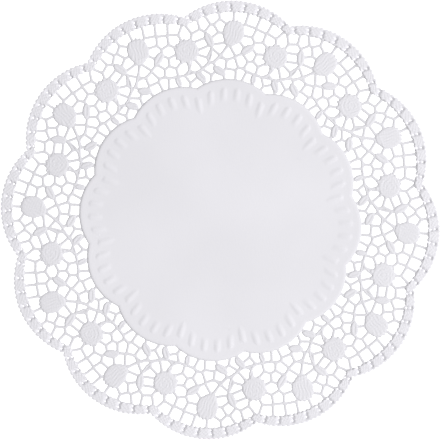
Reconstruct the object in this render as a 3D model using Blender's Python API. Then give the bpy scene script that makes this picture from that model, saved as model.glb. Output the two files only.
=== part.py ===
"""Paper doily: one round sheet with a scalloped edge, lying flat.

Metres, +Z up. The origin is the middle of the underside, and the paper lies
between z = 0 and its thickness. The sheet repeats every twelfth of a turn: a
plain round medallion, a lace band and a scalloped border. The lace band has
its largest gaps cut right through, in courses that follow the border.
"""
import math

import bmesh
import bpy
from mathutils import Vector

# Driving dimensions.
OVERALL_DIAMETER = 0.360
CUSP_RADIUS = 0.1684
THICKNESS = 0.001
SCALLOP_COUNT = 12
FIRST_SCALLOP_DEG = 25.2
ARC_SEGMENTS = 14

# The border strip, at the middle of a scallop and at the cusps beside it.
BORDER_WIDTH_AT_PEAK = 0.0092
BORDER_WIDTH_AT_CUSP = 0.0071

# The plain medallion, inside the lace.
MEDALLION_PEAK_RADIUS = 0.1154
MEDALLION_CUSP_RADIUS = 0.1092
MEDALLION_ARC_SEGMENTS = 6

# The gaps: paper left between two of them, and how much each corner is cut.
STRAND_WIDTH = 0.001
CORNER_CUT = 0.0015
CUTTER_OVERRUN = 0.002
MERGE_DISTANCE = 0.00001

# Each row is a course of gaps in one scallop. Angles run clockwise from the
# scallop's middle, round the centre of the border's inner arc, and depths run
# inwards from that arc.
GAP_COURSES = (
    {"name": "outer", "from_deg": -13.6, "to_deg": 36.4, "gaps": 5,
     "outer_depth": 0.0004, "inner_depth": 0.0097},
    {"name": "inner", "from_deg": 6.4, "to_deg": 36.4, "gaps": 3,
     "outer_depth": 0.0097, "inner_depth": 0.0184},
    {"name": "beside_bud", "from_deg": -32.0, "to_deg": -21.6, "gaps": 1,
     "outer_depth": 0.0028, "inner_depth": 0.0120},
)

PAPER_COLOUR = (0.80, 0.79, 0.83, 1.0)
PAPER_ROUGHNESS = 0.88

PEAK_RADIUS = OVERALL_DIAMETER / 2
SECTOR = math.tau / SCALLOP_COUNT


def scallop_arc(peak, cusp):
    """The arc through a scallop's peak and its two cusps.

    Gives the arc's centre, as a distance from the sheet's middle, its radius,
    and half the angle that it spans.
    """
    across = cusp * math.sin(SECTOR / 2)
    along = cusp * math.cos(SECTOR / 2)
    centre = (peak**2 - cusp**2) / (2 * (peak - along))
    return centre, peak - centre, math.atan2(across, along - centre)


OUTER_ARC = scallop_arc(PEAK_RADIUS, CUSP_RADIUS)
BORDER_ARC = scallop_arc(PEAK_RADIUS - BORDER_WIDTH_AT_PEAK, CUSP_RADIUS - BORDER_WIDTH_AT_CUSP)
MEDALLION_ARC = scallop_arc(MEDALLION_PEAK_RADIUS, MEDALLION_CUSP_RADIUS)


def arc_point(arc, scallop, angle, depth=0.0):
    """A point of the underside, at an angle clockwise round one scallop's arc."""
    centre, radius, _ = arc
    middle = math.radians(FIRST_SCALLOP_DEG) + scallop * SECTOR
    outwards = Vector((math.cos(middle), math.sin(middle), 0.0))
    clockwise = Vector((math.sin(middle), -math.cos(middle), 0.0))
    reach = radius - depth
    return outwards * (centre + reach * math.cos(angle)) + clockwise * reach * math.sin(angle)


def scalloped_points(arc, segments):
    """A whole scalloped outline, anticlockwise, starting at a cusp."""
    points = []
    for scallop in range(SCALLOP_COUNT):
        for step in range(segments):
            angle = arc[2] * (1 - 2 * step / segments)
            points.append(arc_point(arc, scallop, angle))
    return points


def gap_outline(course, place, scallop):
    """One gap: four sides between the strands, with its corners cut off."""
    pitch = math.radians(course["to_deg"] - course["from_deg"]) / course["gaps"]
    first = math.radians(course["from_deg"]) + place * pitch
    # Which end and side each corner is at, in order round the gap.
    corners = ((0, 0), (0, 1), (1, 1), (1, 0))
    points = []
    for turn, (end, side) in enumerate(corners):
        edge = course["inner_depth"] if side else course["outer_depth"]
        reach = BORDER_ARC[1] - edge
        insets = [(STRAND_WIDTH / 2 + CORNER_CUT, STRAND_WIDTH / 2)]
        insets.insert(1 - turn % 2, (STRAND_WIDTH / 2, STRAND_WIDTH / 2 + CORNER_CUT))
        for across, along in insets:
            angle = first + end * pitch + (-1 if end else 1) * across / reach
            depth = edge + (-1 if side else 1) * along
            points.append(arc_point(BORDER_ARC, scallop, angle, depth))
    return points


def flat_face(shape, points):
    """One flat face through some points of the underside."""
    return shape.faces.new([shape.verts.new(point) for point in points])


def thicken(shape, low, high):
    """Make a flat region into a closed prism, from one height to another."""
    bmesh.ops.translate(shape, verts=shape.verts, vec=(0, 0, low))
    upper = bmesh.ops.extrude_face_region(shape, geom=list(shape.faces))
    top = [v for v in upper["geom"] if isinstance(v, bmesh.types.BMVert)]
    bmesh.ops.translate(shape, verts=top, vec=(0, 0, high - low))
    bmesh.ops.recalc_face_normals(shape, faces=shape.faces)


def make_blank():
    """The uncut sheet: the medallion and, round it, one face to a scallop."""
    outer = scalloped_points(OUTER_ARC, ARC_SEGMENTS)
    inner = scalloped_points(MEDALLION_ARC, MEDALLION_ARC_SEGMENTS)
    blank = bmesh.new()
    flat_face(blank, inner)
    for scallop in range(SCALLOP_COUNT):
        rim = [outer[(scallop * ARC_SEGMENTS + step) % len(outer)]
               for step in range(ARC_SEGMENTS + 1)]
        foot = [inner[(scallop * MEDALLION_ARC_SEGMENTS + step) % len(inner)]
                for step in range(MEDALLION_ARC_SEGMENTS + 1)]
        flat_face(blank, rim + foot[::-1])
    bmesh.ops.remove_doubles(blank, verts=blank.verts, dist=MERGE_DISTANCE)
    thicken(blank, 0.0, THICKNESS)
    return blank


def made_mesh(name, shape):
    """Turn a bmesh into a mesh, and free it."""
    mesh = bpy.data.meshes.new(name)
    shape.to_mesh(mesh)
    shape.free()
    return mesh


def add_object(name, mesh):
    """Put a mesh in the scene as an object of its own."""
    thing = bpy.data.objects.new(name, mesh)
    bpy.context.scene.collection.objects.link(thing)
    return thing


def make_gap_cutters():
    """The cutters of all the gaps, as one hidden guide object."""
    cutters = bmesh.new()
    for scallop in range(SCALLOP_COUNT):
        for course in GAP_COURSES:
            for place in range(course["gaps"]):
                flat_face(cutters, gap_outline(course, place, scallop))
    thicken(cutters, -CUTTER_OVERRUN, THICKNESS + CUTTER_OVERRUN)
    guide = add_object("gap_cutters", made_mesh("gap_cutters", cutters))
    guide.hide_render = True
    guide.display_type = "WIRE"
    return guide


def make_paper():
    """Matt white paper with a faint cool cast."""
    paper = bpy.data.materials.new("paper")
    paper.use_nodes = True
    shader = paper.node_tree.nodes["Principled BSDF"]
    shader.inputs["Base Color"].default_value = PAPER_COLOUR
    shader.inputs["Roughness"].default_value = PAPER_ROUGHNESS
    shader.inputs["Metallic"].default_value = 0.0
    return paper


def make_sheet(cutters, paper):
    """The doily's one sheet, with the gaps of its lace cut out."""
    sheet = add_object("doily_sheet", made_mesh("doily_sheet", make_blank()))
    sheet.data.materials.append(paper)
    cut = sheet.modifiers.new("gaps", "BOOLEAN")
    cut.operation = "DIFFERENCE"
    cut.solver = "EXACT"
    cut.object = cutters
    return sheet


def main():
    for thing in list(bpy.data.objects):
        bpy.data.objects.remove(thing)
    make_sheet(make_gap_cutters(), make_paper())


main()
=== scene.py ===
"""A paper doily: a scalloped embossed border, a band of rose and leaf lace and a fluted medallion."""

import math

import bmesh
import bpy
import numpy as np
from bpy.props import FloatProperty, FloatVectorProperty, PointerProperty
from mathutils import Matrix, Vector


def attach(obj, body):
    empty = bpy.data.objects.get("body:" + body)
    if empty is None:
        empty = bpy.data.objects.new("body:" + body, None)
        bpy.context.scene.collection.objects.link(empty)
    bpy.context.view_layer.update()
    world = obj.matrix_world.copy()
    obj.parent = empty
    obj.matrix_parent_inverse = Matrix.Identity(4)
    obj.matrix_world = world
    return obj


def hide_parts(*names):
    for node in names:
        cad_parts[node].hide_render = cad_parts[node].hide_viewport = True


bl_info = {
    "name": "Paper Doily",
    "version": (1, 0, 0),
    "blender": (4, 5, 0),
    "location": "3D Viewport > Sidebar > Doily",
    "description": "Builds a lace paper doily and its stage around the fixed frame",
    "category": "Add Mesh",
}

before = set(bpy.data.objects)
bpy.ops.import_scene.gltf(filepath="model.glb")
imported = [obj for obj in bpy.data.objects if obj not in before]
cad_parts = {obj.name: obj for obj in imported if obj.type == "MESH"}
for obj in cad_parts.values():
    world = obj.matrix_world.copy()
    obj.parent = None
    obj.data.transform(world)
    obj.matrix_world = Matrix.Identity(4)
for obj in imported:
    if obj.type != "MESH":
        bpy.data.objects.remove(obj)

# The lace is drawn in millimetres on one scallop's sector, whose middle points up the page.
# A place on it is (degrees clockwise from that middle, distance from the doily's centre).
MM = 0.001
SECTORS = 12
SECTOR_DEG = 360 / SECTORS
# Where the first scallop points, anticlockwise from +X
FIRST_SCALLOP_DEG = 25.2
# The lace band is four pieces, each of whole sectors that start this far from a scallop's middle
QUARTERS = 4
SEAM_DEG = -11.25

# Peak and cusp distance of the scalloped outlines, from the edge inwards
EDGE_OUTLINE = (180.0, 168.4)
BORDER_OUTLINE = (170.8, 161.3)
MEDALLION_OUTLINE = (116.2, 110.0)
# How far inside the medallion's outline the lace band ends and the medallion starts
SEAM_DEPTH = 2.0
# How far past the edge's outline the grid of the lace reaches, for the beads
EDGE_MARGIN = 0.6

# Columns and rows of the grid of one sector: the lace, and the medallion as far as its flutes go
LACE_COLUMNS, LACE_ROWS = 144, 128
MEDALLION_COLUMNS, FLUTE_ROWS = 84, 30
# Rings of the medallion's plain middle: radius, and how many of the flutes' columns make one of theirs
PLAIN_RINGS = (
    (86, 2), (83, 4), (79, 7), (74, 7), (68, 7), (62, 7), (56, 7), (49, 12), (42, 12), (35, 14),
    (28, 14), (21, 21), (14, 28), (8, 42),
)

# The middle of each gap in the net, row by row
NET_GAPS = {
    "under the border": (
        (-12.7, 159.5), (-9.4, 160.5), (-7.1, 166.3), (-3.2, 167), (1.0, 166.6),
        (4.4, 164.7), (7.8, 162.4), (11.5, 159.6), (14.3, 155),
    ),
    "beside the bud": (
        (-11.4, 152.3), (-7.3, 155.2), (-4.8, 159), (-5.3, 148.4), (3.7, 155.8),
        (7.2, 153.8), (10.8, 152.4), (3.6, 148), (0.8, 142),
    ),
    "beside the rose": (
        (-10.7, 145.2), (-9.9, 138.2), (-11.1, 131), (-14.2, 127), (8.2, 143.8),
        (9.0, 135.2), (11.6, 127.2),
    ),
    "over the vine": (
        (-4.9, 140.4), (-7.5, 134.8), (-2.3, 136.6), (5.3, 137.4), (2.7, 131.2),
        (-0.5, 128.3), (-4.8, 128.6), (6.5, 127.8),
    ),
    "under the vine": (
        (-0.5, 119.7), (3.4, 120.3), (6.2, 117.7), (-8.7, 123.9), (-6.1, 116.6),
        (-10.9, 119.2), (10.7, 116.3), (13.6, 119.3), (15.1, 114),
    ),
}
# angle, distance, length, width and how far clockwise of outwards the tip points
LEAVES = (
    (-8.4, 148.2, 14.4, 6.8, 158),
    (4.3, 141.6, 13.8, 6.8, 52),
    (-5.2, 122.4, 12.8, 6.8, 122),
    (-12.6, 118.4, 12.2, 6.2, 140),
    (8.4, 118.2, 9.2, 5.0, 172),
)
# width, then the places each stem runs through
STEMS = (
    (1.7, ((1.9, 126.4), (5.1, 124.0), (8.4, 122.4), (11.5, 121.9), (15, 122.5),
           (18.6, 125.2), (20.8, 129.6), (22.0, 135.0), (22.3, 142.2))),
    (1.7, ((-1.6, 145), (-2.2, 142.6), (-3.7, 138.5), (-5.3, 134.3), (-6.9, 130.9),
           (-8.9, 128.1), (-11.0, 125.5))),
    (1.6, ((2.3, 137.4), (0.3, 134.1), (-2.4, 132.2), (-5.3, 132.6))),
    (1.8, ((14.7, 133.5), (14.3, 128.5), (12.6, 123.0))),
)
BUD = (-0.8, 153.7, 6)
ROSE = (13.9, 141.0, 0)

BEADS_PER_SECTOR = 24
# The border's slots: the angle between two, and the first one's shift as a part of it
SLOT_PITCH_DEG, SLOT_PHASE = SECTOR_DEG / 8, 0.40
# Radius of a slot's two holes, how far each is from the slot's middle, and how far inwards of the
# border's middle line that middle lies
SLOT_HOLE, SLOT_REACH, SLOT_INSET = 0.6, 1.7, 0.7
# How much a slot leans for each degree that it is from the scallop's middle, and on top of that
SLOT_FAN, SLOT_LEAN_DEG = 1.5, 7.0
# The medallion's flutes, and how many degrees one of them is from the scallop's middle
FLUTES_PER_SECTOR = 5
FLUTE_PHASE_DEG = -3.35

# How sharp the inner corners are where shapes of the lace meet, and where strands of net meet
SHAPE_SHARP, NET_SHARP = 3.0, 4.0

# Levels of the paper, the foot of border and stems, and the lowest that the relief goes
LEVEL, FOOT, LOWEST = 0.25, 0.3, 0.22
# How high each part of the lace stands, and how much more the net climbs near the border
NET_HEIGHT, NET_CLIMB = 0.45, 0.6
STEM_HEIGHT, PETAL_HEIGHT, CALYX_HEIGHT = 0.7, 0.28, 0.2
BLOCK_HEIGHT, STUD_HEIGHT, GRAIN_HEIGHT = 2.05, 0.34, 0.30

# How much shade is painted into the paper's colour, from 0 to 1, in each kind of place: cut edges,
# strands, the border's pits, motifs and petal folds
EDGE_SHADE, NET_SHADE, PIT_SHADE = 0.18, 0.17, 0.11
MOTIF_SHADE, PETAL_SHADE = 0.07, 0.03

# Points closer than this are one point, and edges bent more than this stay sharp
JOIN_DISTANCE = 0.004
SHARP_EDGE_DEG = 50

# The key light as seen from the doily, in degrees, and its distance and width in metres
KEY_BEARING_DEG, KEY_ELEVATION_DEG = -8, 55
KEY_DISTANCE, KEY_WIDTH = 4.0, 2.0
# The camera's lens and sensor in millimetres, and how far to the side it stands in metres
CAMERA_LENS, CAMERA_SENSOR, CAMERA_SIDE = 85, 36, -0.0004


# ---- plane geometry of a sector, in millimetres ----

def spot(angle, radius):
    """The point at an angle clockwise from the sector's middle and a distance from the centre."""
    angle = np.radians(angle)
    return np.stack([radius * np.sin(angle), radius * np.cos(angle)], -1)


def turned(points, degrees):
    """Points turned clockwise round the doily's centre."""
    a = math.radians(degrees)
    x, y = points[..., 0], points[..., 1]
    return np.stack([x * math.cos(a) + y * math.sin(a), y * math.cos(a) - x * math.sin(a)], -1)


def folded(points):
    """Points brought into the sector around its own middle, by whole turns of a sector."""
    angle = np.degrees(np.arctan2(points[..., 0], points[..., 1]))
    sector = np.round(angle / SECTOR_DEG)
    home = points.copy()
    for k in np.unique(sector):
        home[sector == k] = turned(points[sector == k], -SECTOR_DEG * k)
    return home


def neighbours(points):
    """The points as the sector and the ones on either side of it see them."""
    return [turned(points, k * SECTOR_DEG) for k in (-1, 0, 1)]


def scallop_arc(outline):
    """Centre distance and radius of the arc through a peak and its two cusps."""
    peak, cusp = outline
    along = cusp * math.cos(math.radians(SECTOR_DEG / 2))
    centre = (peak**2 - cusp**2) / (2 * (peak - along))
    return centre, peak - centre


def depth_in(outline, points):
    """How far points lie inside an outline; points are folded."""
    centre, radius = scallop_arc(outline)
    return radius - np.hypot(points[..., 0], points[..., 1] - centre)


def outline_radius(outline, angle, inset=0.0):
    """An outline's distance from the doily's centre at an angle, moved inwards by inset."""
    centre, radius = scallop_arc(outline)
    a = np.radians((np.asarray(angle) + SECTOR_DEG / 2) % SECTOR_DEG - SECTOR_DEG / 2)
    return centre * np.cos(a) + np.sqrt((radius - inset) ** 2 - (centre * np.sin(a)) ** 2)


def soft_min(values, sharp):
    """The least of several distances, with the corners between them rounded."""
    values = np.stack(values, 0)
    low = values.min(0)
    return low - np.log(np.exp(-sharp * (values - low)).sum(0)) / sharp


def hump(x):
    """A smooth rise from 0 at -1 to 1 at 0 and back to 0 at 1."""
    return np.clip(1 - x * x, 0, 1) ** 2


def roll(x):
    """A quarter-round rise from 0 at 0 to 1 at 1."""
    return np.sqrt(np.clip(1 - (1 - np.clip(x, 0, 1)) ** 2, 0, 1))


def swept(places, steps=6):
    """A smooth line through places on the sector."""
    through = np.array([spot(a, r) for a, r in places])
    ends = 2 * through[0] - through[1], 2 * through[-1] - through[-2]
    p = np.array([ends[0], *through, ends[1]])
    t = np.arange(steps)[:, None] / steps
    line = [
        0.5 * (2 * p[i] + (p[i + 1] - p[i - 1]) * t
               + (2 * p[i - 1] - 5 * p[i] + 4 * p[i + 1] - p[i + 2]) * t**2
               + (3 * p[i] - p[i - 1] - 3 * p[i + 1] + p[i + 2]) * t**3)
        for i in range(1, len(p) - 2)
    ]
    return np.concatenate([*line, through[-1:]])


def distance_to(line, points):
    """How far points are from a line through several places."""
    best = np.full(points.shape[:-1], np.inf)
    for a, b in zip(line[:-1], line[1:]):
        ab = b - a
        t = np.clip(((points - a) @ ab) / (ab @ ab), 0, 1)
        off = points - (a + t[..., None] * ab)
        best = np.minimum(best, np.hypot(off[..., 0], off[..., 1]))
    return best


def on_motif(points, angle, radius, turn):
    """Points in a motif's own frame, whose +Y runs to its tip."""
    return turned(points - spot(angle, radius), -(turn + angle))


# ---- outlines of the motifs: distance outside them, below zero inside ----

def leaf_gap(p, length, width):
    """A leaf, pointed at both ends."""
    t = np.abs(p[..., 1]) / (length / 2)
    s = np.clip(t, 0, 1)
    side = width / 2 * (1 - s**2.8)
    flank = (np.abs(p[..., 0]) - side) / np.hypot(1, 2.8 * width / length * s**1.8)
    end = np.hypot(p[..., 0], np.maximum(np.abs(p[..., 1]) - length / 2, 0))
    return np.where(t < 1, flank, np.maximum(end, flank))


def oval_gap(p, middle, half_width, half_height, power=2.0):
    """An oval, squarer where the power is higher."""
    u = np.abs(p[..., 0] - middle[0]) / half_width
    v = np.abs(p[..., 1] - middle[1]) / half_height
    size = (u**power + v**power + 1e-12) ** (1 / power)
    return (size - 1) * min(half_width, half_height)


def round_gap(p, x, y, radius):
    """A circle."""
    return np.hypot(p[..., 0] - x, p[..., 1] - y) - radius


def bud_gap(p):
    """A rosebud with a calyx at its foot and small points at its tip."""
    body = oval_gap(p, (0, 0.5), 8.9, 9.6, 2.4)
    calyx = oval_gap(p, (-1.6, -8.2), 5.2, 2.8)
    picots = [round_gap(p, *at, 1.0) for at in ((-4.6, 8.9), (-1.6, 10.2), (1.6, 10.3), (4.7, 9.0))]
    return soft_min([body, calyx, *picots], SHAPE_SHARP)


def rose_gap(p):
    """An open rose with a frilled crown, and sepals at its foot."""
    body = oval_gap(p, (0, 0), 9.9, 9.3, 2.1)
    crown = [
        round_gap(p, 10.0 * math.sin(t), 9.6 * math.cos(t), 1.1)
        for t in (-1.2, -0.8, -0.4, 0.0, 0.4, 0.8)
    ]
    sepals = [
        round_gap(p, 9.9 * math.sin(t), -9.7 * math.cos(t), size)
        for t, size in ((-1.1, 1.2), (-0.6, 1.5), (0.0, 2.0), (0.6, 1.5), (1.1, 1.2))
    ]
    return soft_min([body, *crown, *sepals], SHAPE_SHARP)


class Motif:
    """One shape of the lace, seen from each of the three sectors it may reach into."""

    def __init__(self, gap, height, place, petals=None):
        self.gap, self.height, self.place, self.petals = gap, height, place, petals

    def views(self, points):
        return [on_motif(near, *self.place) for near in neighbours(points)]

    def outside(self, points):
        return np.min([self.gap(p) for p in self.views(points)], 0)


# ---- relief of the motifs, in millimetres above the paper around them ----

def ramp(x):
    """A straight slope from 0 at 0 to 1 at 1, eased at its head."""
    x = np.clip(x, 0, 1)
    return 1.25 * x - 0.25 * x**5


def embossed(depth):
    """The swell of a motif: a steep rim, then a gentle crown."""
    return 0.72 * ramp(depth / 0.9) + 0.20 * ramp(depth / 2.2) + 0.20 * roll(depth / 7)


def crumple(p):
    """Soft irregular dents, from -1 to 1."""
    x, y = p[..., 0], p[..., 1]
    one = np.cos(2.1 * x + 1.1 * y + 1.0) * np.cos(1.3 * x - 1.9 * y + 2.0)
    return 0.6 * one + 0.4 * np.cos(2.7 * x - 0.6 * y + 1.6 * np.sin(0.9 * y + 0.4 * x))


def leaf_height(p, length, width):
    """A leaf folded along its midrib, with slanting veins."""
    along, across = p[..., 1] / (length / 2), np.abs(p[..., 0])
    midrib = 0.40 * hump(across / 1.0) * np.clip(1.6 - 1.6 * np.abs(along), 0, 1)
    veins = 0.07 * np.cos(2 * np.pi * (p[..., 1] - 1.2 * across) / 2.2) * np.clip(across / 1.2, 0, 1)
    return embossed(-leaf_gap(p, length, width)) - midrib + veins


def bud_petals(p):
    """Long petals that lean together at the foot, from -1 in the folds to 1."""
    narrowing = 8.4 * (1 - 0.4 * np.clip(-p[..., 1] / 9.6, 0, 1) ** 1.5)
    turn = (p[..., 0] - 0.20 * p[..., 1]) / narrowing
    long = np.cos(2 * np.pi * (2.8 * turn + 0.25 * np.sin(p[..., 1] / 2.1 + 2.5 * turn)))
    broken = 0.65 + 0.35 * np.cos(p[..., 1] / 1.4 + 5 * turn)
    return 0.55 * long * broken + 0.45 * crumple(p)


def rose_petals(p):
    """Petals that wind outwards from the heart of a rose, from -1 in the folds to 1."""
    x, y = p[..., 0] - 0.3, p[..., 1] - 0.9
    away, bearing = np.hypot(x, y), np.arctan2(x, y)
    waved = away * (1 + 0.14 * np.cos(3 * bearing + 0.5) + 0.07 * np.cos(5 * bearing + away / 3))
    broken = 0.55 + 0.45 * np.cos(3 * bearing + 1.1 * away)
    return 0.6 * np.cos(2 * np.pi * waved / 3.1 - bearing) * broken + 0.5 * crumple(p)


def bud_height(p):
    """A swollen bud with folded petals and a ridge across its calyx."""
    depth = -bud_gap(p)
    calyx = CALYX_HEIGHT * hump(p[..., 1] + 6.8)
    return embossed(depth) + PETAL_HEIGHT * bud_petals(p) * roll(depth / 2.5) + calyx


def rose_height(p):
    """A swollen rose with winding petals."""
    depth = -rose_gap(p)
    return embossed(depth) + PETAL_HEIGHT * rose_petals(p) * roll(depth / 2.5)


def lace_motifs():
    """The leaves, the bud and the rose of one sector."""
    motifs = [
        Motif(lambda p, s=(l, w): leaf_gap(p, *s), lambda p, s=(l, w): leaf_height(p, *s),
              (a, r, turn))
        for a, r, l, w, turn in LEAVES
    ]
    motifs.append(Motif(bud_gap, bud_height, BUD, bud_petals))
    motifs.append(Motif(rose_gap, rose_height, ROSE, rose_petals))
    return motifs


# ---- the lace band ----

def bead_phase(points):
    """Where points stand among the border's beads: 0 at a bead's middle, 0.5 between beads."""
    angle = np.degrees(np.arctan2(points[..., 0], points[..., 1]))
    step = SECTOR_DEG / BEADS_PER_SECTOR
    return (angle / step) % 1 - 0.5


def slot_frame(points):
    """Distance across from the nearest slot's leaning middle line, and along it from its middle."""
    angle = np.degrees(np.arctan2(points[..., 0], points[..., 1]))
    middle = (np.round(angle / SLOT_PITCH_DEG - SLOT_PHASE) + SLOT_PHASE) * SLOT_PITCH_DEG
    across = np.radians(angle - middle) * np.hypot(points[..., 0], points[..., 1])
    along = (depth_in(EDGE_OUTLINE, points) + depth_in(BORDER_OUTLINE, points)) / 2 - SLOT_INSET
    home = (middle + SECTOR_DEG / 2) % SECTOR_DEG - SECTOR_DEG / 2
    lean = np.radians(SLOT_FAN * home + SLOT_LEAN_DEG * np.sign(home))
    return across + along * np.tan(lean), along


def slot_gap(points):
    """How far points are inside one of the two small holes of a border slot."""
    across, along = slot_frame(points)
    return SLOT_HOLE - np.hypot(across, np.abs(along) - SLOT_REACH)


def slot_walls(points):
    """1 on the blocks, 0 in the two round pits of each slot, and a little more on their saddle."""
    across, along = slot_frame(points)
    pits = np.hypot(across, np.abs(along) - SLOT_REACH)
    neck = np.hypot(across, np.maximum(np.abs(along) - SLOT_REACH, 0))
    return np.minimum(ramp((pits - 0.3) / 2.1), 0.2 + 0.8 * ramp((neck - 0.2) / 1.7))


class Lace:
    """The whole net of one sector: where it is open, and how high it stands."""

    def __init__(self, settings):
        self.settings = settings
        self.motifs = lace_motifs()
        self.stems = [(width / 2, swept(places)) for width, places in STEMS]
        self.centres = self.settled_centres()

    def stem_gap(self, points):
        best = np.full(points.shape[:-1], np.inf)
        for near in neighbours(points):
            for half, line in self.stems:
                best = np.minimum(best, distance_to(line, near) - half)
        return best

    def border_gap(self, points):
        """How far points are inside the border's beaded inner outline."""
        beads = np.abs(np.cos(np.pi * bead_phase(points)))
        return depth_in(BORDER_OUTLINE, points) - 0.7 * self.settings.bead_size / MM * (beads - 0.5)

    def solid_gap(self, points):
        """Distance outside everything in the band that isn't net."""
        shapes = [motif.outside(points) for motif in self.motifs]
        shapes += [self.stem_gap(points), self.border_gap(points)]
        shapes.append(-depth_in(MEDALLION_OUTLINE, points))
        return soft_min(shapes, SHAPE_SHARP)

    def settled_centres(self, rounds=2):
        """Gap centres, each moved halfway to the middle of the free paper nearest to it."""
        centres = np.array([spot(a, r) for row in NET_GAPS.values() for a, r in row])
        angle, radius = np.meshgrid(np.arange(-14.8, 15, 0.4), np.arange(108, 172, 0.9))
        angle, radius = angle.ravel(), radius.ravel()
        free = spot(angle, radius)
        keep = self.solid_gap(free) > 0
        free, weight = free[keep], radius[keep]
        count = len(centres)
        for _ in range(rounds):
            every = np.concatenate([turned(centres, k * SECTOR_DEG) for k in (-1, 0, 1)])
            near = ((free[:, None] - every[None]) ** 2).sum(-1).argmin(1)
            copy, own = near // count, near % count
            home = free.copy()
            home[copy == 0] = turned(free[copy == 0], SECTOR_DEG)
            home[copy == 2] = turned(free[copy == 2], -SECTOR_DEG)
            total = np.maximum(np.bincount(own, weight, count), 1e-9)
            middle = [np.bincount(own, weight * home[:, i], count) / total for i in (0, 1)]
            centres = 0.5 * (centres + np.stack(middle, -1))
        return centres

    def net_edge(self, points):
        """Distance from the middle line of the nearest strand of net."""
        every = np.concatenate([turned(self.centres, k * SECTOR_DEG) for k in (-1, 0, 1)])
        out = []
        for part in np.array_split(points.reshape(-1, 2), 1 + len(points) // 4000):
            square = ((part[:, None] - every[None]) ** 2).sum(-1)
            near = square.argmin(1)
            row = np.arange(len(part))
            apart = np.hypot(*np.moveaxis(every[None] - every[near][:, None], -1, 0))
            apart[row, near] = 1
            edge = (square - square[row, near][:, None]) / (2 * apart)
            edge[row, near] = np.inf
            low = edge.min(1)
            near_ties = np.exp(-NET_SHARP * (edge - low[:, None])).sum(1)
            out.append(low - np.log(near_ties) / NET_SHARP)
        return np.concatenate(out).reshape(points.shape[:-1])

    def open_depth(self, points):
        """How far points are inside a gap, a slot or the air round the doily; paper is below zero."""
        points = folded(points)
        half_strand = self.settings.strand_width / MM / 2
        strands = self.net_edge(points) - half_strand
        net = soft_min([strands, self.solid_gap(points)], NET_SHARP)
        beads = np.abs(np.cos(np.pi * bead_phase(points)))
        air = -depth_in(EDGE_OUTLINE, points) - self.settings.bead_size / MM * (beads - 0.5)
        return np.max([net, slot_gap(points), air], 0)

    def painted_shade(self, points):
        """Painted shade, from 0 to 1: at cut edges, on strands, along the medallion's outline, on the
        border's beads and pits, and on motifs, more in petal folds and less on their ridges.
        """
        points = folded(points)
        motifs = np.min([motif.outside(points) for motif in self.motifs], 0)
        others = [self.border_gap(points), -depth_in(MEDALLION_OUTLINE, points)]
        # Painted shade on the strands of net, fading out inside motifs, border and medallion, and
        # halved in the middle of stems.
        net = np.clip(1 + np.minimum(motifs, np.min(others, 0)) / 0.7, 0, 1)
        net *= 1 - 0.5 * np.clip(-self.stem_gap(points) / 0.4, 0, 1)
        # Painted shade along the inside of the medallion's outline.
        rim = depth_in(MEDALLION_OUTLINE, points)
        net += np.where(rim > 0, 0.4 * np.clip(SEAM_DEPTH - rim, 0, 1), 0)
        # Painted shade on the motifs, more in the petals' folds and less on their ridges.
        folds = np.where(motifs < 0, MOTIF_SHADE, 0)
        for motif in self.motifs:
            for p in motif.views(points):
                if motif.petals:
                    folds -= np.where(motif.gap(p) < 0, PETAL_SHADE * motif.petals(p), 0)
        # Painted shade at cut edges, which on the border falls only at the beads.
        edge = np.clip(1 + self.open_depth(points) / 0.7, 0, 1)
        bordered = self.border_gap(points) < 0
        edge *= np.where(bordered, np.cos(np.pi * bead_phase(points)) ** 2, 1)
        # Painted shade in the border's slot pits.
        pits = np.where(bordered, 1 - slot_walls(points), 0)
        return EDGE_SHADE * edge + NET_SHADE * net + folds + PIT_SHADE * pits

    def border_height(self, points):
        """Relief of the border: swollen blocks between sunken slots, with beads along both edges."""
        _, along = slot_frame(points)
        angle = np.arctan2(points[..., 0], points[..., 1])
        block = angle / math.radians(SLOT_PITCH_DEG) * 2 * np.pi
        outer, inner = depth_in(EDGE_OUTLINE, points), -depth_in(BORDER_OUTLINE, points)
        walls = slot_walls(points)
        beads = np.cos(np.pi * bead_phase(points)) ** 2
        edges = (0.80 + 0.20 * ramp(outer / 1.2)) * (0.72 + 0.28 * ramp(inner / 1.0))
        grooves = 0.10 * hump((outer - 2.0) / 1.1) + 0.12 * hump((inner - 2.0) / 1.1)
        rows = hump((outer - 0.8) / 1.2) + hump((inner - 0.8) / 1.2)
        studs = STUD_HEIGHT * (beads - 0.4) * rows
        grain = np.cos(4 * block + 0.8) * np.cos(2 * np.pi * along / 2.7 + 1.5 * np.sin(block))
        dents = GRAIN_HEIGHT * grain * hump(along / 4.8) - grooves
        return BLOCK_HEIGHT * edges * walls + studs + dents * walls

    def height(self, points):
        """Relief of the upper face above the underside's plane."""
        points = folded(points)
        inside = -self.open_depth(points)
        border = -self.border_gap(points)
        z = LEVEL + NET_HEIGHT * ramp(inside / 0.8) + NET_CLIMB * np.clip(1 + border / 3, 0, 1)
        z = np.where(border > 0, FOOT + self.border_height(points), z)
        rim = depth_in(MEDALLION_OUTLINE, points)
        z = np.where(rim > 0, medallion_rim(rim), z)
        stem = -self.stem_gap(points)
        z = np.where(stem > 0, np.maximum(z, FOOT + STEM_HEIGHT * ramp(stem / 0.9)), z)
        for motif in self.motifs:
            for p in motif.views(points):
                z = np.where(motif.gap(p) < 0, LEVEL + motif.height(p), z)
        return np.maximum(z, LOWEST)


def medallion_rim(depth):
    """Relief inside the medallion's outline: a steep rise, then a gentle one to a faint ridge."""
    rise = 0.9 * ramp(depth / 0.8) + 0.5 * ramp(depth / 2.2)
    return LEVEL + rise + 0.06 * hump((depth - 3.2) / 1.4)


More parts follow.
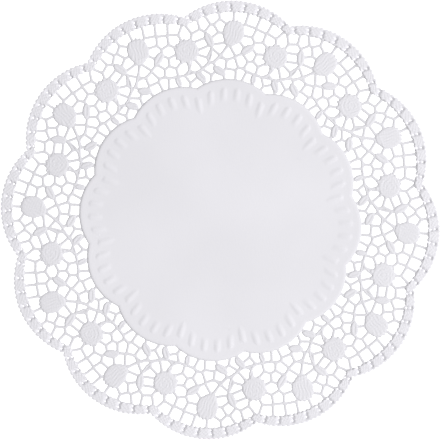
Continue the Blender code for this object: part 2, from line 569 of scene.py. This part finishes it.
def flute_height(points, depth, height):
    """Relief of the medallion's ring of flutes, each a round-headed ridge with a fading tail."""
    radius = np.hypot(points[..., 0], points[..., 1])
    angle = np.degrees(np.arctan2(points[..., 0], points[..., 1]))
    pitch = SECTOR_DEG / FLUTES_PER_SECTOR
    off = ((angle - FLUTE_PHASE_DEG) / pitch + 0.5) % 1 - 0.5
    across = np.radians(off * pitch) * radius
    head = roll((depth - 7.4) / 3.0)
    tail = np.clip((19.0 - depth) / 7.0, 0, 1)
    ridge = hump(across / np.maximum(3.5 * head, 0.3)) * head * tail * (2 - tail)
    arch = 0.04 * hump((depth - 5.6 + 6.0 * off**2) / 1.2)
    return height * ridge + arch


# ---- making meshes ----

def rims(bm):
    """The open edges of a mesh, as one list for each closed run of them."""
    left = {e for e in bm.edges if len(e.link_faces) == 1}
    found = []
    while left:
        run, wave = [], [left.pop()]
        while wave:
            edge = wave.pop()
            run.append(edge)
            for vert in edge.verts:
                for other in vert.link_edges:
                    if other in left:
                        left.remove(other)
                        wave.append(other)
        found.append(run)
    return found


def flat_points(bm):
    """Where the points of a mesh lie, seen from above."""
    return np.array([v.co.xy for v in bm.verts])


def move_flat(bm, points):
    """Moves the points of a mesh sideways, without changing their height."""
    for vert, (x, y) in zip(bm.verts, points):
        vert.co.x, vert.co.y = x, y


def band_mesh(columns, rows, place):
    """A grid laid out by place(across, along), where both run from 0 to 1."""
    bm = bmesh.new()
    bmesh.ops.create_grid(bm, x_segments=columns, y_segments=rows, size=0.5)
    grid = flat_points(bm) + 0.5
    move_flat(bm, place(grid[:, 0], grid[:, 1]))
    return bm


def snap_to_rims(bm, depth, nearest):
    """Moves points that all but touch a cut line onto it, and returns each point's depth."""
    points = flat_points(bm)
    value = depth(points)
    step = 0.02
    slope = np.stack([
        (depth(points + shift) - depth(points - shift)) / (2 * step)
        for shift in (np.array([step, 0]), np.array([0, step]))
    ], -1)
    steep = (slope**2).sum(-1)
    near = (np.abs(value) < nearest) & (steep > 0.09)
    points[near] -= (value[near] / steep[near])[:, None] * slope[near]
    value[near] = 0
    move_flat(bm, points)
    return value


def cut_open(bm, depth, nearest=0.12):
    """Opens a sheet where depth is above zero, with its edges cut along the zero line."""
    value = list(snap_to_rims(bm, depth, nearest))
    bm.verts.index_update()
    crossing = [e for e in bm.edges if value[e.verts[0].index] * value[e.verts[1].index] < 0]
    ends = np.array([[v.co.xy for v in e.verts] for e in crossing])
    a = np.array([value[e.verts[0].index] for e in crossing])
    b = np.array([value[e.verts[1].index] for e in crossing])
    low, high = np.zeros(len(a)), np.ones(len(a))
    for _ in range(4):
        share = np.clip(low + (high - low) * a / (a - b), 0, 1)
        middle = depth(ends[:, 0] + share[:, None] * (ends[:, 1] - ends[:, 0]))
        same = middle * a > 0
        low, a = np.where(same, share, low), np.where(same, middle, a)
        high, b = np.where(same, high, share), np.where(same, b, middle)
    sides = {v: value[v.index] for v in bm.verts}
    for edge, t in zip(crossing, share):
        _, vert = bmesh.utils.edge_split(edge, edge.verts[0], float(t))
        sides[vert] = 0
    on_line = [v for v in bm.verts if sides[v] == 0]
    bmesh.ops.connect_verts(bm, verts=on_line)
    unsure, gone = [], []
    for face in bm.faces:
        side = max((sides[v] for v in face.verts), key=abs)
        (unsure if side == 0 else gone if side > 0 else []).append(face)
    if unsure:
        middles = depth(np.array([f.calc_center_median().xy for f in unsure]))
        gone += [face for face, inside in zip(unsure, middles) if inside > 0]
    bmesh.ops.delete(bm, geom=gone, context="FACES")


def close_pinholes(bm, longest=10.5):
    """Fills the openings in the net that are too small to be a gap of the lace."""
    for run in rims(bm):
        middle = np.mean([v.co.xy for e in run for v in e.verts], 0)
        in_net = depth_in(BORDER_OUTLINE, folded(middle[None]))[0] > 1
        if in_net and sum(e.calc_length() for e in run) < longest:
            made = bmesh.ops.holes_fill(bm, edges=run, sides=0)
            bmesh.ops.triangulate(bm, faces=made["faces"])


def drop_crumbs(bm):
    """Leaves only the largest joined part of the sheet."""
    left, best = set(bm.verts), []
    while left:
        part, wave = [], [left.pop()]
        while wave:
            vert = wave.pop()
            part.append(vert)
            for edge in vert.link_edges:
                other = edge.other_vert(vert)
                if other in left:
                    left.remove(other)
                    wave.append(other)
        if len(part) > len(best):
            best, part = part, best
        if part:
            bmesh.ops.delete(bm, geom=part, context="VERTS")


def coarsen(bm):
    """Joins points of the plain rings, so that their faces stay about as wide as they are deep."""
    step = SECTOR_DEG / MEDALLION_COLUMNS
    for radius, keep in PLAIN_RINGS:
        ring = {}
        for vert in bm.verts:
            if abs(vert.co.xy.length - radius) < 0.01:
                angle = math.degrees(math.atan2(vert.co.x, vert.co.y)) + SECTOR_DEG / 2
                ring[round(angle / step)] = vert
        joins = {
            vert: ring[round(column / keep) * keep]
            for column, vert in ring.items() if column % keep
        }
        bmesh.ops.weld_verts(bm, targetmap=joins)


def raise_relief(bm, height):
    """Lifts a flat sheet to the height of the relief at each point."""
    z = height(flat_points(bm))
    for vert, level in zip(bm.verts, z):
        vert.co.z = level


def store(bm, name, values):
    """Keeps one value for each point, for the materials to read."""
    layer = bm.verts.layers.float.new(name)
    for vert, value in zip(bm.verts, values):
        vert[layer] = value


def copies_round(bm, count):
    """Repeats a sector anticlockwise round the centre and joins the copies."""
    angle = math.radians(SECTOR_DEG)
    bmesh.ops.spin(
        bm, geom=bm.verts[:] + bm.edges[:] + bm.faces[:], cent=(0, 0, 0), axis=(0, 0, 1),
        dvec=(0, 0, 0), angle=angle * (count - 1), steps=count - 1, use_duplicate=True,
    )
    bmesh.ops.remove_doubles(bm, verts=bm.verts, dist=JOIN_DISTANCE)


def sway(x, y):
    """The slow rise and fall of a sheet that doesn't lie quite flat, in millimetres."""
    wide = np.sin(x / 31 + 0.8) * np.cos(y / 27 - 0.5)
    long = np.sin((x + 1.4 * y) / 44 + 2.1)
    return 0.10 * (1 + wide) + 0.07 * (1 + long)


def finish_piece(bm, name, settings, materials):
    """Turns a relief in millimetres into a finished piece of paper in its place."""
    turn = math.radians(FIRST_SCALLOP_DEG - 90)
    bmesh.ops.rotate(bm, verts=bm.verts, matrix=Matrix.Rotation(turn, 3, "Z"), cent=(0, 0, 0))
    points = flat_points(bm)
    for vert, lift in zip(bm.verts, sway(points[:, 0], points[:, 1])):
        vert.co.z += lift
    bmesh.ops.scale(bm, verts=bm.verts, vec=(MM, MM, MM))
    bmesh.ops.recalc_face_normals(bm, faces=bm.faces)
    if sum(f.normal.z * f.calc_area() for f in bm.faces) < 0:
        bmesh.ops.reverse_faces(bm, faces=bm.faces)
    bmesh.ops.solidify(bm, geom=bm.faces[:], thickness=settings.paper_thickness)
    for face in bm.faces:
        face.smooth = True
    sharp = math.radians(SHARP_EDGE_DEG)
    for edge in bm.edges:
        edge.smooth = len(edge.link_faces) == 2 and edge.calc_face_angle() < sharp
    mesh = bpy.data.meshes.new(name)
    bm.to_mesh(mesh)
    bm.free()
    for material in materials:
        mesh.materials.append(material)
    piece = bpy.data.objects.new(name, mesh)
    bpy.context.scene.collection.objects.link(piece)
    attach(piece, "root")
    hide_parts("doily_sheet")
    return piece


# ---- paper ----

def group_with(name, inputs, outputs):
    """A new node group with float, vector or colour sockets."""
    group = bpy.data.node_groups.new(name, "ShaderNodeTree")
    for kind, sockets in (("INPUT", inputs), ("OUTPUT", outputs)):
        for label, socket, default in sockets:
            made = group.interface.new_socket(label, in_out=kind, socket_type=socket)
            if default is not None:
                made.default_value = default
    return group, group.nodes.new("NodeGroupInput"), group.nodes.new("NodeGroupOutput")


def add_node(tree, kind, values=None, **settings):
    """A new node with values for its sockets and for its own settings."""
    node = tree.nodes.new(kind)
    for key, value in settings.items():
        setattr(node, key, value)
    for key, value in (values or {}).items():
        node.inputs[key].default_value = value
    return node


def fibre_group():
    """Paper fibre: short soft hairs for the bump, and a cloudy tone for the colour."""
    group, given, out = group_with(
        "Paper fibre",
        [("Vector", "NodeSocketVector", None), ("Fibres per Metre", "NodeSocketFloat", 700.0),
         ("Clouds per Metre", "NodeSocketFloat", 13.0)],
        [("Height", "NodeSocketFloat", None), ("Cloud", "NodeSocketFloat", None)],
    )
    link = group.links.new
    stretch = add_node(group, "ShaderNodeMapping", {"Scale": (1.0, 0.45, 1.0)})
    hairs = add_node(group, "ShaderNodeTexNoise", {"Detail": 4.0, "Roughness": 0.62})
    cloud = add_node(group, "ShaderNodeTexNoise", {"Detail": 2.0, "Roughness": 0.4})
    spread = add_node(group, "ShaderNodeMapRange", {"From Min": 0.36, "From Max": 0.64})
    link(given.outputs["Vector"], stretch.inputs["Vector"])
    link(stretch.outputs["Vector"], hairs.inputs["Vector"])
    link(given.outputs["Fibres per Metre"], hairs.inputs["Scale"])
    link(given.outputs["Vector"], cloud.inputs["Vector"])
    link(given.outputs["Clouds per Metre"], cloud.inputs["Scale"])
    link(hairs.outputs["Fac"], out.inputs["Height"])
    link(cloud.outputs["Fac"], spread.inputs["Value"])
    link(spread.outputs["Result"], out.inputs["Cloud"])
    return group


def shade_group():
    """Mixes painted shade into the paper's colour where asked, and a little more in soft random
    clouds.
    """
    group, given, out = group_with(
        "Painted paper shade",
        [("Paper", "NodeSocketColor", (0.8, 0.8, 0.8, 1.0)),
         ("Shade", "NodeSocketColor", (0.5, 0.5, 0.52, 1.0)),
         ("Painted Shade", "NodeSocketFloat", 0.0), ("Cloud", "NodeSocketFloat", 0.5),
         ("Cloud Strength", "NodeSocketFloat", 0.08)],
        [("Color", "NodeSocketColor", None)],
    )
    link = group.links.new
    cloud = add_node(group, "ShaderNodeMath", operation="MULTIPLY")
    total = add_node(group, "ShaderNodeMath", operation="ADD", use_clamp=True)
    mix = add_node(group, "ShaderNodeMix", data_type="RGBA")
    link(given.outputs["Cloud"], cloud.inputs[0])
    link(given.outputs["Cloud Strength"], cloud.inputs[1])
    link(given.outputs["Painted Shade"], total.inputs[0])
    link(cloud.outputs[0], total.inputs[1])
    link(total.outputs[0], mix.inputs["Factor"])
    link(given.outputs["Paper"], mix.inputs[6])
    link(given.outputs["Shade"], mix.inputs[7])
    link(mix.outputs[2], out.inputs["Color"])
    return group


def named_group(name, make):
    """The node group of this name, made when it is first asked for."""
    return bpy.data.node_groups.get(name) or make()


def paper_material(name, settings):
    """Matt white doily paper, with shade painted into its colour as much as each piece's own attribute
    asks.
    """
    material = bpy.data.materials.new(name)
    material.use_nodes = True
    tree = material.node_tree
    link = tree.links.new
    shader = tree.nodes["Principled BSDF"]
    shader.inputs["Roughness"].default_value = 0.88
    shader.inputs["Specular IOR Level"].default_value = 0.25
    at = add_node(tree, "ShaderNodeTexCoord")
    # Reads the painted shade that each piece stores.
    painted_shade = add_node(tree, "ShaderNodeAttribute", attribute_name="painted_shade")
    fibre = add_node(tree, "ShaderNodeGroup", node_tree=named_group("Paper fibre", fibre_group))
    shade = add_node(
        tree, "ShaderNodeGroup",
        node_tree=named_group("Painted paper shade", shade_group),
    )
    shade.inputs["Paper"].default_value = (*settings.paper_colour, 1.0)
    shade.inputs["Shade"].default_value = (*settings.shade_colour, 1.0)
    relief = add_node(tree, "ShaderNodeBump", {"Strength": 0.25, "Distance": 0.0002})
    link(at.outputs["Object"], fibre.inputs["Vector"])
    link(fibre.outputs["Cloud"], shade.inputs["Cloud"])
    link(painted_shade.outputs["Fac"], shade.inputs["Painted Shade"])
    link(shade.outputs["Color"], shader.inputs["Base Color"])
    link(fibre.outputs["Height"], relief.inputs["Height"])
    link(relief.outputs["Normal"], shader.inputs["Normal"])
    return material


# ---- settings ----

class DoilyPaperSettings(bpy.types.PropertyGroup):
    """Sizes and colours of the paper"""

    paper_thickness: FloatProperty(
        name="Paper Thickness", description="Thickness of the paper",
        default=0.00018, min=0.00005, max=0.001, precision=5, subtype="DISTANCE", unit="LENGTH",
    )
    strand_width: FloatProperty(
        name="Strand Width", description="Width of the strands of net between the gaps",
        default=0.0023, min=0.0005, max=0.003, precision=4, subtype="DISTANCE", unit="LENGTH",
    )
    bead_size: FloatProperty(
        name="Bead Size", description="How far the beads along the border's edges stand out",
        default=0.0011, min=0.0, max=0.002, precision=4, subtype="DISTANCE", unit="LENGTH",
    )
    flute_height: FloatProperty(
        name="Flute Height", description="Height of the ridges round the medallion",
        default=0.0006, min=0.0, max=0.002, precision=5, subtype="DISTANCE", unit="LENGTH",
    )
    paper_colour: FloatVectorProperty(
        name="Paper Colour", description="Colour of the paper",
        default=(0.80, 0.79, 0.83), min=0.0, max=1.0, subtype="COLOR",
    )
    # The colour of the painted shade, mixed into the paper at cut edges, on strands, in pits and
    # folds, and a little in random clouds.
    shade_colour: FloatVectorProperty(
        name="Shade Colour", description="Colour the paper takes at cut edges and on strands",
        default=(0.46, 0.46, 0.47), min=0.0, max=1.0, subtype="COLOR",
    )


class DoilyStageSettings(bpy.types.PropertyGroup):
    """Sizes and lights of the stage"""

    floor_size: FloatProperty(
        name="Floor Size", description="Width and length of the floor",
        default=16.0, min=1.0, max=50.0, subtype="DISTANCE", unit="LENGTH",
    )
    camera_height: FloatProperty(
        name="Camera Height", description="Height of the camera above the doily",
        default=0.8528, min=0.1, max=10.0, precision=4, subtype="DISTANCE", unit="LENGTH",
    )
    key_power: FloatProperty(
        name="Key Light", description="Power of the large soft light at the side",
        default=129.5, min=0.0, max=1000.0, subtype="POWER", unit="POWER",
    )
    sky: FloatProperty(
        name="Sky Light", description="Strength of the even light from all round",
        default=0.395, min=0.0, max=5.0, subtype="FACTOR",
    )


# ---- pieces ----

class DOILY_OT_lace(bpy.types.Operator):
    """Build the four quarters of the lace band and its scalloped border"""

    bl_idname = "doily.lace"
    bl_label = "Lace and Border"

    def execute(self, context):
        settings = context.scene.doily_paper
        lace = Lace(settings)
        paper = paper_material("Embossed lace paper", settings)

        def place(across, along):
            angle = SEAM_DEG + SECTOR_DEG * across
            inner = outline_radius(MEDALLION_OUTLINE, angle, SEAM_DEPTH)
            outer = outline_radius(EDGE_OUTLINE, angle, -EDGE_MARGIN)
            return spot(angle, inner + (outer - inner) * along)

        sector = band_mesh(LACE_COLUMNS, LACE_ROWS, place)
        cut_open(sector, lace.open_depth)
        close_pinholes(sector)
        points = flat_points(sector)
        # The painted shade of each point, for the paper material.
        store(sector, "painted_shade", lace.painted_shade(points))
        raise_relief(sector, lace.height)
        copies_round(sector, SECTORS // QUARTERS)
        drop_crumbs(sector)
        for quarter in range(QUARTERS):
            bm = sector.copy()
            turn = Matrix.Rotation(math.radians(360 / QUARTERS * quarter), 3, "Z")
            bmesh.ops.rotate(bm, verts=bm.verts, matrix=turn, cent=(0, 0, 0))
            piece = finish_piece(bm, f"lace_quarter_{quarter + 1}", settings, [paper])
        sector.free()
        return {"FINISHED"}


class DOILY_OT_medallion(bpy.types.Operator):
    """Build the medallion with its ring of flutes and its plain middle"""

    bl_idname = "doily.medallion"
    bl_label = "Medallion"

    def execute(self, context):
        settings = context.scene.doily_paper
        paper = paper_material("Smooth medallion paper", settings)
        radii = np.array([radius for radius, _ in PLAIN_RINGS], float)
        total = FLUTE_ROWS + len(radii)

        def place(across, along):
            angle = SECTOR_DEG * (across - 0.5)
            edge = outline_radius(MEDALLION_OUTLINE, angle, SEAM_DEPTH)
            row = np.rint(along * total).astype(int)
            inner = radii[0] + 1
            fluted = inner + (edge - inner) * (1 - np.minimum(row, FLUTE_ROWS) / FLUTE_ROWS)
            plain = radii[np.clip(row - FLUTE_ROWS - 1, 0, len(radii) - 1)]
            return spot(angle, np.where(row <= FLUTE_ROWS, fluted, plain))

        sector = band_mesh(MEDALLION_COLUMNS, total, place)

        def height(points):
            points = folded(points)
            plain = np.hypot(points[..., 0], points[..., 1]) < radii[0] + 0.5
            depth = np.where(plain, 30, depth_in(MEDALLION_OUTLINE, points))
            return medallion_rim(depth) + flute_height(points, depth, settings.flute_height / MM)

        coarsen(sector)
        # No painted shade on the medallion.
        store(sector, "painted_shade", np.zeros(len(sector.verts)))
        raise_relief(sector, height)
        copies_round(sector, SECTORS)
        inmost = min(rims(sector), key=lambda run: run[0].verts[0].co.xy.length)
        made = bmesh.ops.holes_fill(sector, edges=inmost, sides=0)
        bmesh.ops.poke(sector, faces=made["faces"])
        piece = finish_piece(sector, "medallion", settings, [paper])
        return {"FINISHED"}


class DOILY_OT_stage(bpy.types.Operator):
    """Add the floor, the soft lights and the camera"""

    bl_idname = "doily.stage"
    bl_label = "Stage"

    def execute(self, context):
        settings, scene = context.scene.doily_stage, context.scene
        add_floor(scene, settings.floor_size)
        add_sky(scene, settings.sky)
        add_key_light(scene, settings.key_power)
        add_camera(scene, settings.camera_height)
        scene.view_settings.view_transform = "Standard"
        return {"FINISHED"}


def add_floor(scene, size):
    """A plain floor under the doily, at z = 0."""
    bm = bmesh.new()
    bmesh.ops.create_grid(bm, x_segments=8, y_segments=8, size=size / 2)
    mesh = bpy.data.meshes.new("floor")
    bm.to_mesh(mesh)
    bm.free()
    mesh.materials.append(floor_material())
    floor = bpy.data.objects.new("floor", mesh)
    scene.collection.objects.link(floor)


def add_sky(scene, strength):
    """An even white light from all round."""
    world = bpy.data.worlds.new("soft studio")
    world.use_nodes = True
    backdrop = world.node_tree.nodes["Background"]
    backdrop.inputs["Color"].default_value = (1.0, 1.0, 1.0, 1.0)
    backdrop.inputs["Strength"].default_value = strength
    scene.world = world


def add_key_light(scene, power):
    """One wide round light at the side, which shows the relief."""
    lamp = bpy.data.lights.new("key", "AREA")
    lamp.energy = power
    lamp.shape = "DISK"
    lamp.size = KEY_WIDTH
    key = bpy.data.objects.new("key", lamp)
    bearing, height = math.radians(KEY_BEARING_DEG), math.radians(KEY_ELEVATION_DEG)
    key.location = (
        KEY_DISTANCE * math.cos(height) * math.cos(bearing),
        KEY_DISTANCE * math.cos(height) * math.sin(bearing),
        KEY_DISTANCE * math.sin(height),
    )
    key.rotation_euler = Vector(key.location).to_track_quat("Z", "Y").to_euler()
    scene.collection.objects.link(key)


def add_camera(scene, height):
    """A camera straight above, looking down."""
    lens = bpy.data.cameras.new("camera")
    lens.lens = CAMERA_LENS
    lens.sensor_width = CAMERA_SENSOR
    lens.clip_start = 0.01
    camera = bpy.data.objects.new("camera", lens)
    camera.location = (CAMERA_SIDE, 0.0, height)
    scene.collection.objects.link(camera)
    scene.camera = camera


def floor_material():
    """A white sweep, lit a little from below so that it stays clean."""
    material = bpy.data.materials.new("White sweep")
    material.use_nodes = True
    tree = material.node_tree
    shader = tree.nodes["Principled BSDF"]
    at = add_node(tree, "ShaderNodeTexCoord")
    grain = add_node(tree, "ShaderNodeTexNoise", {"Scale": 3.0, "Detail": 2.0})
    tone = add_node(tree, "ShaderNodeMix", data_type="RGBA")
    tone.inputs[6].default_value = (0.90, 0.90, 0.90, 1.0)
    tone.inputs[7].default_value = (0.94, 0.94, 0.94, 1.0)
    tree.links.new(at.outputs["Object"], grain.inputs["Vector"])
    tree.links.new(grain.outputs["Fac"], tone.inputs["Factor"])
    tree.links.new(tone.outputs[2], shader.inputs["Base Color"])
    shader.inputs["Roughness"].default_value = 0.9
    shader.inputs["Emission Color"].default_value = (1.0, 1.0, 1.0, 1.0)
    shader.inputs["Emission Strength"].default_value = 0.6
    return material


class DOILY_PT_pieces(bpy.types.Panel):
    """Lists the sizes and colours, and builds the pieces"""

    bl_idname = "DOILY_PT_pieces"
    bl_label = "Paper Doily"
    bl_space_type = "VIEW_3D"
    bl_region_type = "UI"
    bl_category = "Doily"

    def draw(self, context):
        for settings in (context.scene.doily_paper, context.scene.doily_stage):
            box = self.layout.box()
            for name in settings.__annotations__:
                box.prop(settings, name)
        for operator in (DOILY_OT_lace, DOILY_OT_medallion, DOILY_OT_stage):
            self.layout.operator(operator.bl_idname)


CLASSES = (
    DoilyPaperSettings, DoilyStageSettings, DOILY_OT_lace, DOILY_OT_medallion,
    DOILY_OT_stage, DOILY_PT_pieces,
)


def register():
    for cls in CLASSES:
        bpy.utils.register_class(cls)
    bpy.types.Scene.doily_paper = PointerProperty(type=DoilyPaperSettings)
    bpy.types.Scene.doily_stage = PointerProperty(type=DoilyStageSettings)


def unregister():
    del bpy.types.Scene.doily_paper
    del bpy.types.Scene.doily_stage
    for cls in reversed(CLASSES):
        bpy.utils.unregister_class(cls)


def main():
    register()
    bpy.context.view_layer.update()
    bpy.ops.doily.lace()
    bpy.ops.doily.medallion()
    bpy.ops.doily.stage()


if __name__ == "__main__":
    main()
